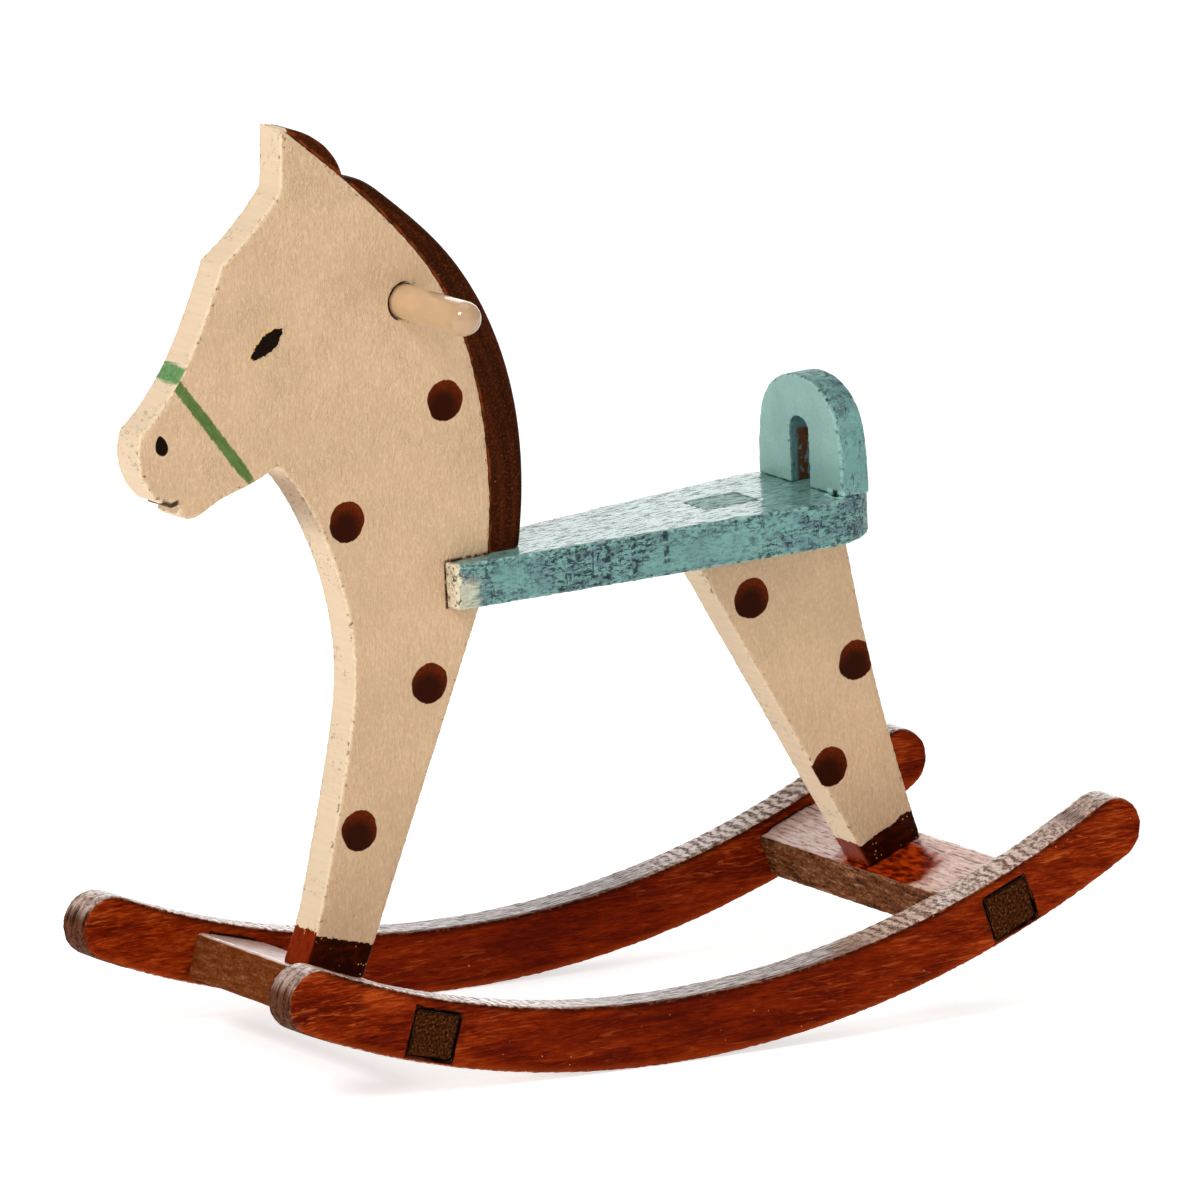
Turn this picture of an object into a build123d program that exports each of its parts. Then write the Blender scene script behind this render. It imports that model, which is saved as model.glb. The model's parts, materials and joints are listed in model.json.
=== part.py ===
"""Doll-size wooden rocking horse: one sawn board makes the head, neck and foreleg, a second
board the hind leg, and a forked seat with an arched back joins the two over a pair of rockers.

Frame: millimetres, +X forward, +Y to the horse's left, +Z up.  The origin is on the floor,
midway between the rockers, under the centre of the rockers' arc.
"""

import os
from math import asin, cos, degrees, radians, sin

from build123d import *

os.makedirs("parts", exist_ok=True)

# ---- rockers ------------------------------------------------------------------------------
rocker_radius = 138.0  # running edge
rocker_length = 123.5  # tip to tip, measured level
rocker_depth = 8.0  # from the running edge to the top edge
rocker_thickness = 5.0
overall_width = 50.0  # outside to outside of the two rockers
rocker_ease = 0.45  # rounding of the long edges

# ---- rails that join the rockers ------------------------------------------------------------
rail_reach = 41.8  # level distance from the middle of the rockers to a rail's middle
rail_rise = 3.6  # from the running edge to the middle of the rail's thickness
rail_width = 10.2
rail_thickness = 5.6
rail_tenon_width = 6.4
rail_ease = 0.5

# ---- boards, pegs and fits ------------------------------------------------------------------
board_thickness = 5.0  # front board and hind leg
board_ease = 0.35
glue_gap = 0.05  # all round a tenon, peg or fork
foot_tenon_length = 4.4  # along the rail's width
foot_tenon_width = 3.0  # across the board's thickness
foot_tenon_depth = 3.5
blind_room = 0.2  # under a blind tenon and past each end of a hidden peg
peg_diameter = 1.8
peg_length = 8.0
peg_chamfer = 0.25
seat_peg_x = 17.1  # middle of the peg between the seat and the front board's rear edge

# ---- seat -----------------------------------------------------------------------------------
seat_height = 60.3  # top face above the running edge's lowest point
seat_thickness = 5.6
seat_front = 22.7  # tips of the fork
seat_front_width = 9.4
seat_rear_radius = 10.0  # the seat's rear end is a half round
seat_rear_centre = -28.2
seat_ease = 0.3

# ---- hind leg -------------------------------------------------------------------------------
leg_top_front = -13.0  # where the leg's edges meet the seat's underside
leg_top_rear = -35.2
leg_foot_width = 8.1  # along the rail's top
leg_rear_hollow = 0.8  # how far the rear edge is hollowed
leg_tenon_front = -15.3
leg_tenon_length = 7.4

# ---- backrest -------------------------------------------------------------------------------
back_front = -30.7  # its front face
back_thickness = 4.0
back_height = 13.7
back_width = 17.8
shoulder_rise = 0.36  # share of the height at which the arch has drawn in by:
shoulder_inset = 0.2
haunch_rise = 0.7  # and the same further up
haunch_inset = 1.3
back_crown_width = 9.2  # width of the arch where it has dropped by:
back_crown_drop = 1.1
slot_width = 3.9
slot_height = 8.5
back_peg_spacing = 11.4
back_ease = 0.35

# ---- front board, as (x, z) from the floor point under the arc's centre -----------------------
throat, seat_joint = (45.5, 75.9), (17.6, 54.7)
chest = [
    throat, (41.0, 69.2), (38.3, 62.8), (36.4, 55.0), (36.1, 48.0), (37.4, 40.0), (40.4, 28.0), (43.4, 18.0)
]
ear_tip, ear_root = (42.9, 116.4), (43.4, 108.9)
neck = [
    seat_joint, (16.1, 62.5), (15.8, 71.0), (17.0, 81.5), (21.5, 94.0), (29.5, 104.1), (34.7, 109.2), ear_tip
]
brow_curve, brow = (47.4, 104.8), (52.0, 101.3)
nose_bridge, nose = [(54.2, 96.4), (58.5, 88.9)], (64.3, 82.9)
muzzle, upper_lip = [(64.9, 79.6), (63.0, 75.0)], (60.3, 73.3)
mouth_corner, lower_lip, chin = (59.0, 73.7), (59.8, 72.5), [(58.0, 71.6), (54.4, 72.9), (49.6, 74.3)]
foot_width = 8.7  # along the rail's top

# ---- handle ---------------------------------------------------------------------------------
handle_diameter = 4.2
handle_length = 34.0
dome_flat = 0.1  # radius of the flat left in the middle of each domed end
handle_x = 26.7
handle_z = 92.9

# ---- mane and forelock: strips on the front board's rear edge ---------------------------------
mane_thickness = 4.6
mane_ease = 1.5
mane_outer = [
    (34.2, 109.0), (32.0, 108.5), (28.2, 105.9), (19.5, 97.4),
    (12.4, 83.9), (10.4, 71.5), (11.3, 60.3), (14.0, 49.0),
]
forelock_outer = [(42.6, 116.3), (39.8, 115.4), (35.8, 112.3), (34.3, 109.0)]
forelock_ease = 0.6

# The horse leans forward a little at rest, where its weight is over the point of contact.
rest_pitch = 4.13  # degrees

back_peg_places = [
    (back_front - back_thickness / 2, back_peg_spacing / 2),
    (back_front - back_thickness / 2, -back_peg_spacing / 2),
]

# ---- planes ---------------------------------------------------------------------------------


def tilt(angle):
    """Forward and upward directions of something turned by an angle from the level of the seat."""
    turn = radians(angle - rest_pitch)
    return (cos(turn), 0, sin(turn)), (-sin(turn), 0, cos(turn))


# Local x runs forward and local y up.  The whole horse turns about the centre of the arc.
forward, upward = tilt(0)
side = Plane(
    origin=(-rocker_radius * upward[0], 0, rocker_radius * (1 - upward[2])),
    x_dir=forward,
    z_dir=(0, -1, 0),
)
seat_top = Plane(
    origin=side.from_local_coords((0, seat_height)), x_dir=forward, z_dir=upward
)
seat_bottom = seat_top.offset(-seat_thickness)
back_face = Plane(
    origin=side.from_local_coords((back_front, seat_height)), x_dir=(0, 1, 0), z_dir=forward
)
seat_peg_hole = Plane(
    origin=side.from_local_coords((seat_peg_x, seat_height - seat_thickness / 2)),
    x_dir=(0, 1, 0),
    z_dir=forward,
)


def on_arc(radius, angle):
    """Point of a circle about the arc's centre, at an angle in degrees forward of straight down."""
    return (radius * sin(radians(angle)), rocker_radius - radius * cos(radians(angle)))


def rail_top(end):
    """Top face of the rail in front (end = 1) or behind (-1): x along the rocker, z upward."""
    angle = end * degrees(asin(rail_reach / (rocker_radius - rail_rise)))
    point = on_arc(rocker_radius - rail_rise - rail_thickness / 2, angle)
    along, normal = tilt(angle)
    return Plane(origin=side.from_local_coords(point), x_dir=along, z_dir=normal)


def rail_point(end, distance):
    """Point of a rail's top, in the side plane's own x and z, that far forward of its middle."""
    point = side.to_local_coords(rail_top(end).from_local_coords((distance, 0)))
    return (point.X, point.Y)


def save(part, name):
    """Label a finished piece and write it as one STEP file."""
    part.label = name
    export_step(part, f"parts/{name}.step")


# ---- rockers ------------------------------------------------------------------------------
inner_radius = rocker_radius - rocker_depth
middle_radius = rocker_radius - rocker_depth / 2
rocker_angle = degrees(asin((rocker_length - rocker_depth) / 2 / middle_radius))
cap_angle = rocker_angle + degrees(rocker_depth / 2 / middle_radius)
left_face = overall_width / 2
right_face = rocker_thickness - overall_width / 2

for name, upper_face in (("left_rocker", left_face), ("right_rocker", right_face)):
    with BuildPart() as rocker:
        with BuildSketch(side.offset(-upper_face)):
            with BuildLine():
                ThreePointArc(
                    on_arc(rocker_radius, -rocker_angle),
                    on_arc(rocker_radius, 0),
                    on_arc(rocker_radius, rocker_angle),
                )
                ThreePointArc(
                    on_arc(rocker_radius, rocker_angle),
                    on_arc(middle_radius, cap_angle),
                    on_arc(inner_radius, rocker_angle),
                )
                ThreePointArc(
                    on_arc(inner_radius, rocker_angle),
                    on_arc(inner_radius, 0),
                    on_arc(inner_radius, -rocker_angle),
                )
                ThreePointArc(
                    on_arc(inner_radius, -rocker_angle),
                    on_arc(middle_radius, -cap_angle),
                    on_arc(rocker_radius, -rocker_angle),
                )
            make_face()
        extrude(amount=rocker_thickness)
        fillet(rocker.faces().filter_by(Axis.Y).edges(), rocker_ease)
        for end in (1, -1):
            with BuildSketch(rail_top(end).offset(glue_gap)):
                Rectangle(rail_tenon_width + 2 * glue_gap, overall_width + 1)
            extrude(amount=-rail_thickness - 2 * glue_gap, mode=Mode.SUBTRACT)
    save(rocker.part, name)

# ---- rails: shouldered through tenons, and a blind mortise for the foot of a board ------------
rail_shoulders = overall_width - 2 * rocker_thickness

for name, end in (("front_rail", 1), ("rear_rail", -1)):
    with BuildPart() as rail:
        with BuildSketch(rail_top(end)):
            Rectangle(rail_width, rail_shoulders)
        extrude(amount=-rail_thickness)
        fillet(rail.edges().filter_by(Axis.Y), rail_ease)
        with BuildSketch(rail_top(end)):
            Rectangle(rail_tenon_width, overall_width)
        extrude(amount=-rail_thickness)
        with BuildSketch(rail_top(end)):
            Rectangle(foot_tenon_length + 2 * glue_gap, foot_tenon_width + 2 * glue_gap)
        extrude(amount=-foot_tenon_depth - blind_room, mode=Mode.SUBTRACT)
    save(rail.part, name)

# ---- front board: head, neck and foreleg sawn from one piece ----------------------------------
with BuildSketch() as board_outline:
    with BuildLine():
        Line(ear_tip, ear_root)
        ThreePointArc(ear_root, brow_curve, brow)
        Spline(brow, *nose_bridge, nose)
        Spline(nose, *muzzle, upper_lip)
        Line(upper_lip, mouth_corner)
        Line(mouth_corner, lower_lip)
        Spline(lower_lip, *chin, throat)
        Spline(*chest, rail_point(1, foot_width / 2))
        Line(rail_point(1, foot_width / 2), rail_point(1, -foot_width / 2))
        Line(rail_point(1, -foot_width / 2), seat_joint)
        Spline(*neck)
    make_face()

with BuildPart() as front_board:
    with BuildSketch(side):
        add(board_outline.sketch)
    extrude(amount=board_thickness / 2, both=True)
    fillet(front_board.faces().filter_by(Axis.Y).edges(), board_ease)
    with BuildSketch(side):
        with Locations((handle_x, handle_z)):
            Circle(handle_diameter / 2 + glue_gap)
    extrude(amount=board_thickness, both=True, mode=Mode.SUBTRACT)
    with BuildSketch(rail_top(1)):
        Rectangle(foot_tenon_length, foot_tenon_width)
    extrude(amount=-foot_tenon_depth)
    with BuildSketch(seat_peg_hole):
        Circle(peg_diameter / 2 + glue_gap)
    extrude(amount=peg_length / 2 + blind_room, both=True, mode=Mode.SUBTRACT)
save(front_board.part, "front_board")

# ---- mane and forelock: their inner edge is the front board's own, and the mane ends on the seat --
inside_board = [(38.0, 100.0), (24.0, 80.0), (22.0, 49.0)]
strips = (
    ("mane", mane_outer, inside_board, mane_ease),
    ("forelock", forelock_outer, [(40.0, 104.0)], forelock_ease),
)
for name, outer, inner, ease in strips:
    with BuildPart() as strip:
        with BuildSketch(side.offset(-mane_thickness / 2)):
            with BuildLine():
                Spline(*outer)
                Polyline(outer[-1], *reversed(inner), outer[0])
            make_face()
            add(board_outline.sketch, mode=Mode.SUBTRACT)
            with Locations((0, seat_height)):
                Rectangle(rocker_length, seat_height, align=(Align.CENTER, Align.MAX), mode=Mode.SUBTRACT)
        extrude(amount=mane_thickness)
        fillet(strip.edges().sort_by(SortBy.LENGTH)[-2:], ease)
    save(strip.part, name)

# ---- seat: tapered board, forked round the front board ----------------------------------------
with BuildPart() as seat:
    with BuildSketch(seat_top):
        with Locations((seat_rear_centre, 0)):
            Circle(seat_rear_radius)
        with BuildLine():
            Polyline(
                (seat_rear_centre, seat_rear_radius),
                (seat_front, seat_front_width / 2),
                (seat_front, -seat_front_width / 2),
                (seat_rear_centre, -seat_rear_radius),
                close=True,
            )
        make_face()
    extrude(amount=-seat_thickness)
    fillet(seat.faces().filter_by(seat_top).edges(), seat_ease)
    with BuildSketch(side):
        with Locations((-glue_gap, 0)):
            add(board_outline.sketch)
    extrude(amount=board_thickness / 2 + glue_gap, both=True, mode=Mode.SUBTRACT)
    with BuildSketch(seat_top):
        with Locations((leg_tenon_front - leg_tenon_length / 2, 0)):
            Rectangle(leg_tenon_length + 2 * glue_gap, board_thickness + 2 * glue_gap)
    extrude(amount=-seat_thickness, mode=Mode.SUBTRACT)
    with BuildSketch(seat_peg_hole):
        Circle(peg_diameter / 2 + glue_gap)
    extrude(amount=peg_length / 2 + blind_room, both=True, mode=Mode.SUBTRACT)
    with BuildSketch(seat_top):
        with Locations(*back_peg_places):
            Circle(peg_diameter / 2 + glue_gap)
    extrude(amount=-peg_length / 2 - blind_room, mode=Mode.SUBTRACT)
save(seat.part, "seat")

# ---- hind leg: tapered board, tenoned up through the seat and down into the rear rail -----------
underside = seat_height - seat_thickness
top_front, top_rear = (leg_top_front, underside), (leg_top_rear, underside)
foot_front, foot_rear = rail_point(-1, leg_foot_width / 2), rail_point(-1, -leg_foot_width / 2)

with BuildPart() as hind_leg:
    with BuildSketch(side):
        with BuildLine():
            Line(foot_rear, foot_front)
            Line(foot_front, top_front)
            Line(top_front, top_rear)
            SagittaArc(top_rear, foot_rear, leg_rear_hollow)
        make_face()
    extrude(amount=board_thickness / 2, both=True)
    fillet(hind_leg.edges().sort_by(SortBy.LENGTH)[-4:], board_ease)
    with BuildSketch(seat_bottom):
        with Locations((leg_tenon_front - leg_tenon_length / 2, 0)):
            Rectangle(leg_tenon_length, board_thickness)
    extrude(amount=seat_thickness)
    with BuildSketch(rail_top(-1)):
        Rectangle(foot_tenon_length, foot_tenon_width)
    extrude(amount=-foot_tenon_depth)
save(hind_leg.part, "hind_leg")

# ---- backrest: arched board with a slot, pegged to the seat -------------------------------------
half_arch = [
    (back_width / 2, 0),
    (back_width / 2 - shoulder_inset, back_height * shoulder_rise),
    (back_width / 2 - haunch_inset, back_height * haunch_rise),
    (back_crown_width / 2, back_height - back_crown_drop),
]
other_half = [(-y, z) for y, z in reversed(half_arch)]

with BuildPart() as backrest:
    with BuildSketch(back_face):
        with BuildLine():
            Spline(*half_arch, (0, back_height), *other_half, tangents=((0, 1), (0, -1)))
            Line((-back_width / 2, 0), (back_width / 2, 0))
        make_face()
    extrude(amount=-back_thickness)
    broad_edges = backrest.faces().filter_by(back_face).edges()
    fillet(broad_edges.filter_by(GeomType.LINE, reverse=True), back_ease)
    with BuildSketch(back_face):
        with Locations((0, slot_height / 2 - slot_width / 2)):
            SlotOverall(slot_height + slot_width, slot_width, rotation=90)
    extrude(amount=-back_thickness, mode=Mode.SUBTRACT)
    with BuildSketch(seat_top):
        with Locations(*back_peg_places):
            Circle(peg_diameter / 2 + glue_gap)
    extrude(amount=peg_length / 2 + blind_room, mode=Mode.SUBTRACT)
save(backrest.part, "backrest")

# ---- handle: one dowel through the neck, domed at both ends --------------------------------------
with BuildPart() as handle:
    with BuildSketch(side):
        with Locations((handle_x, handle_z)):
            Circle(handle_diameter / 2)
    extrude(amount=handle_length / 2, both=True)
    fillet(handle.edges().filter_by(GeomType.CIRCLE), handle_diameter / 2 - dome_flat)
save(handle.part, "handle")

# ---- hidden pegs ---------------------------------------------------------------------------------
with BuildPart() as seat_peg:
    with BuildSketch(seat_peg_hole):
        Circle(peg_diameter / 2)
    extrude(amount=peg_length / 2, both=True)
    chamfer(seat_peg.edges().filter_by(GeomType.CIRCLE), peg_chamfer)
save(seat_peg.part, "seat_peg")

with BuildPart() as backrest_pegs:
    with BuildSketch(seat_top):
        with Locations(*back_peg_places):
            Circle(peg_diameter / 2)
    extrude(amount=peg_length / 2, both=True)
    chamfer(backrest_pegs.edges().filter_by(GeomType.CIRCLE), peg_chamfer)
save(backrest_pegs.part, "backrest_pegs")
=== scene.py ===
"""Looks of a doll-size painted rocking horse: worn, brushed and stained wood over its frame."""

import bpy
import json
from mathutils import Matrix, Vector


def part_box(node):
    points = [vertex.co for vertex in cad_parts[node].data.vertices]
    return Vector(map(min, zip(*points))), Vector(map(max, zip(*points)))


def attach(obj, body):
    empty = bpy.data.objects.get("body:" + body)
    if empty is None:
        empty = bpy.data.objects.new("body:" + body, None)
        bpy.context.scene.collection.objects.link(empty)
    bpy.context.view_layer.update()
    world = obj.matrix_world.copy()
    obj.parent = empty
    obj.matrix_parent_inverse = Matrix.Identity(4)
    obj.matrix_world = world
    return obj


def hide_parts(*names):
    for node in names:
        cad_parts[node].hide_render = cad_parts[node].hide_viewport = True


bl_info = {
    "name": "Painted Rocking Horse",
    "version": (1, 0, 0),
    "blender": (4, 5, 0),
    "location": "3D View > Sidebar > Horse",
    "description": "Works a toy rocking horse's sawn pieces and gives them paint, stain and wear",
    "category": "Object",
}

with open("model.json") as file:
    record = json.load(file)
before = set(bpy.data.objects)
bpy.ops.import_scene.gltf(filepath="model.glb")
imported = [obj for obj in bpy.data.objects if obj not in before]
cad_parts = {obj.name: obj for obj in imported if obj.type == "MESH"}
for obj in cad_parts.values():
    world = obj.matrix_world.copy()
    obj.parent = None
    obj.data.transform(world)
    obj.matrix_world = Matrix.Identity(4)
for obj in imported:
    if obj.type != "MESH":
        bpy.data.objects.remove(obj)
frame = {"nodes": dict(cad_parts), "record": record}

import json
import math
from functools import reduce

import bpy
import numpy as np
from bpy.props import FloatProperty, FloatVectorProperty, PointerProperty
from mathutils import Quaternion, Vector
from mathutils.bvhtree import BVHTree

MM = 0.001

# Places on the horse in millimetres with the seat level: x forward from the rockers' middle, y to
# the left and z up from their foot. A pair is x and z in the side view.
RUNNING_RADIUS = 138.0  # of the rockers' running edge
RAIL_REACH = 41.8  # from the middle of the horse to the middle of each rail
TENON_RISE = 3.6  # middle of a rail's tenon above the running edge
TENON_HALF = (3.3, 2.85)  # half a tenon's length along the arc and half its height
RAIL_SHOULDER = 20.2  # y where the rails enter the rockers
SEAT_TOP = 60.3
HANDLE = (26.7, 92.9)
EYE = (46.3, 90.9)
NOSTRIL = (61.65, 81.1)
MOUTH_CUT = (62.1, 73.75)
NOSEBAND_TOP = (59.1, 88.0)
NOSEBAND_BOTTOM = (49.87, 75.4)
NOSEBAND_EDGE = (87.95, 90.0)  # heights of the dab across the front edge
FRONT_SPOTS = ((21.7, 80.0), (36.3, 67.6), (25.6, 46.0), (36.5, 29.8))
HIND_SPOTS = ((-21.2, 48.3), (-31.7, 25.4), (-36.1, 38.0))
FRONT_HOOF = ((34.7, 15.5), 0.294)  # a point of its upper line, and the line's slope
HIND_HOOF = ((-35.2, 14.5), -0.41)
MANE_CENTRE = (58.0, 68.0)  # centre of the mane's curve
HOOF_STAIN_AND_REFLECTION = (-38.4, 2.4)  # x and 0.6 y of the stain that ran out from the hind hoof, partly a painted reflection of the hoof
CRACK = -43.6  # x of a crack across the rear rail
NICK_ROWS = (2.3, -1.3, -3.4, -5.7)  # x of the rows of nicks on the seat's sides
BROKEN_CORNER = (-30.5, 2.95)  # x and 0.4 y of a broken corner at the back's foot, drawn in painted highlight and shadow

LIGHTS = (  # name, place and side in metres, and power
    ("key_light", (0.66, 0.3, 0.7), 0.3, 4.1),
    ("fill_light", (0.1, 0.95, 0.5), 0.8, 1.5),
    ("top_light", (-0.15, -0.1, 0.95), 0.7, 1.4),
    ("back_glow", (-0.9, -1.35, 0.36), 1.3, 8.0),
)


def tint(red, green, blue):
    """Linear colour of a paint whose chart gives its red, green and blue up to 255."""
    parts = [value / 255 for value in (red, green, blue)]
    return tuple(p / 12.92 if p <= 0.04045 else ((p + 0.055) / 1.055) ** 2.4 for p in parts)


def lit(shade, share):
    """The same colour, lighter or darker by that share."""
    return tuple(part * share for part in shade)


def mount_named(name):
    """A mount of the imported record."""
    return next(mount for mount in frame["record"]["mounts"] if mount["name"] == name)


def rest_lean():
    """How far the horse leans forward at rest: its seat's upward direction against the vertical."""
    upward = mount_named("seat_surface")["axis"]
    return math.atan2(upward[0], upward[2])


def colour(name, chart, description):
    """Colour property with its chart value as the default."""
    return FloatVectorProperty(
        name=name, description=description, subtype="COLOR", min=0, max=1, default=tint(*chart)
    )


def length(name, millimetres, description):
    """Length property, given in millimetres."""
    return FloatProperty(
        name=name, description=description, unit="LENGTH", min=0, default=millimetres * MM
    )


# ---- what a user may change ----------------------------------------


class HorseShape(bpy.types.PropertyGroup):
    """Sizes that the wood's working and its patterns need."""

    lean: FloatProperty(
        name="Forward lean", description="Lean of the level seat at rest", subtype="ANGLE",
        default=rest_lean(),
    )
    rocker_radius: length("Rocker radius", RUNNING_RADIUS, "Radius of the running edge")
    rail_angle: FloatProperty(
        name="Rail angle", description="Angle of each rail about the arc's centre", subtype="ANGLE",
        default=math.asin(RAIL_REACH / (RUNNING_RADIUS - TENON_RISE)),
    )
    board_mesh: length("Front board's mesh", 0.27, "Mesh size of the worked front board")
    small_mesh: length("Mesh", 0.2, "Mesh size of the other worked pieces")
    sanding: length("Sanding", 0.04, "Height of the waves left by hand sanding")
    chipping: length("Chipping", 0.12, "Greatest depth of the chips along the arrises")
    mouth_gap: length("Mouth", 0.6, "Height of the saw cut at the mouth")
    joint_reach: length("Joint grime", 0.8, "How far grime reaches from where pieces meet")


class HorsePaint(bpy.types.PropertyGroup):
    """Colours of the paints and stains."""

    cream: colour("Cream", (212, 178, 142), "Paint of the broad faces")
    # The lighter cream of the sawn edges is a painted sheen on the same paint.
    cream_edge_sheen: colour("Light cream", (232, 206, 174), "The same paint on the sawn edges")
    teal: colour("Teal", (120, 164, 157), "Paint of the seat and its back")
    teal_light: colour("Light teal", (148, 188, 179), "Front of the back")
    rocker_dark: colour("Dark stain", (40, 6, 1), "Dark streaks of the rockers")
    rocker_red: colour("Red stain", (118, 32, 3), "Body of the rockers' stain")
    rocker_orange: colour("Orange stain", (182, 78, 26), "Light streaks of the rockers")
    rail: colour("Rail brown", (100, 52, 22), "Worn stain of the rails")
    end_grain: colour("End grain", (80, 38, 12), "Ends of the tenons")
    mane: colour("Mane brown", (56, 22, 7), "Stain of the mane and forelock")
    spot: colour("Spot brown", (46, 11, 0), "Gloss paint of the spots")
    # The amber of a spot's upper part is a painted highlight on the gloss paint.
    spot_highlight: colour("Spot amber", (118, 40, 2), "Thin upper part of a spot")
    noseband: colour("Noseband green", (88, 120, 60), "Paint of the noseband")
    eye: colour("Eye black", (22, 10, 4), "Paint of the eyes and nostrils")
    lacquer: colour("Handle cream", (210, 174, 134), "Lacquer of the handle")


class HorseMarks(bpy.types.PropertyGroup):
    """Sizes of the painted marks."""

    spot_diameter: length("Spot", 5.0, "Diameter of a spot")
    eye_length: length("Eye length", 5.5, "Length of an eye between its corners")
    eye_width: length("Eye width", 2.1, "Greatest width of an eye")
    noseband_width: length("Noseband", 1.35, "Width of the noseband on the faces")


class HorseStage(bpy.types.PropertyGroup):
    """Camera, floor and lights."""

    azimuth: FloatProperty(
        name="Azimuth", description="Camera's direction from forward, towards the horse's left",
        subtype="ANGLE", default=math.radians(55.57),
    )
    elevation: FloatProperty(
        name="Elevation", description="Camera's height angle", subtype="ANGLE",
        default=math.radians(11.72),
    )
    roll: FloatProperty(
        name="Roll", description="Camera's turn about its view", subtype="ANGLE",
        default=math.radians(1.12),
    )
    distance: length("Distance", 1981.0, "Camera's distance from its target")
    target: FloatVectorProperty(
        name="Target", description="Point that the camera looks at", unit="LENGTH",
        subtype="TRANSLATION", default=(-7.15 * MM, 0, 51.44 * MM),
    )
    lens: FloatProperty(
        name="Lens", description="Focal length in millimetres", default=495.2, min=50
    )
    floor_size: length("Floor", 4000.0, "Side of the floor")
    sky: FloatProperty(
        name="Sky", description="Strength of the even light all round", default=0.4, min=0
    )
    floor_glow: FloatProperty(
        name="Floor glow", description="Light that the floor gives by itself", default=0.62, min=0
    )


# ---- surfaces ------------------------------------------------------


def operation(name, swapped=False):
    """Method that adds the Math node of that name, with its two values as they are or swapped."""
    def method(value, other):
        return value.maths(name, other, value) if swapped else value.maths(name, value, other)

    return method


class Value:
    """A number or vector that varies over a surface, so that its maths reads as an expression."""

    def __init__(self, finish, socket):
        self.finish = finish
        self.socket = socket

    def maths(self, name, *values):
        return self.finish.node("ShaderNodeMath", {"operation": name}, dict(enumerate(values)))

    __add__ = __radd__ = operation("ADD")
    __sub__ = operation("SUBTRACT")
    __rsub__ = operation("SUBTRACT", swapped=True)
    __mul__ = __rmul__ = operation("MULTIPLY")
    __truediv__ = operation("DIVIDE")
    __pow__ = operation("POWER")
    most = operation("MAXIMUM")
    turn_from = operation("ARCTAN2")

    def __abs__(self):
        return self.maths("ABSOLUTE", self)

    def sine(self):
        return self.maths("SINE", self)

    def rise(self, low, high):
        """0 below low and 1 above high, with a smooth step between them."""
        return self.finish.node(
            "ShaderNodeMapRange",
            {"interpolation_type": "SMOOTHSTEP"},
            {"Value": self, "From Min": low, "From Max": high},
        )

    def fall(self, low, high):
        """1 below low and 0 above high."""
        return 1 - self.rise(low, high)

    def within(self, low, full, still_full, high):
        """1 between full and still_full, and 0 below low and above high."""
        return self.rise(low, full) * self.fall(still_full, high)

    def ridge(self):
        """1 where a pattern crosses its middle value and less on both sides."""
        return 1 - abs(self * 2 - 1)


def greatest(values):
    """The greatest of several values at each place."""
    return reduce(Value.most, values)


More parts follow.
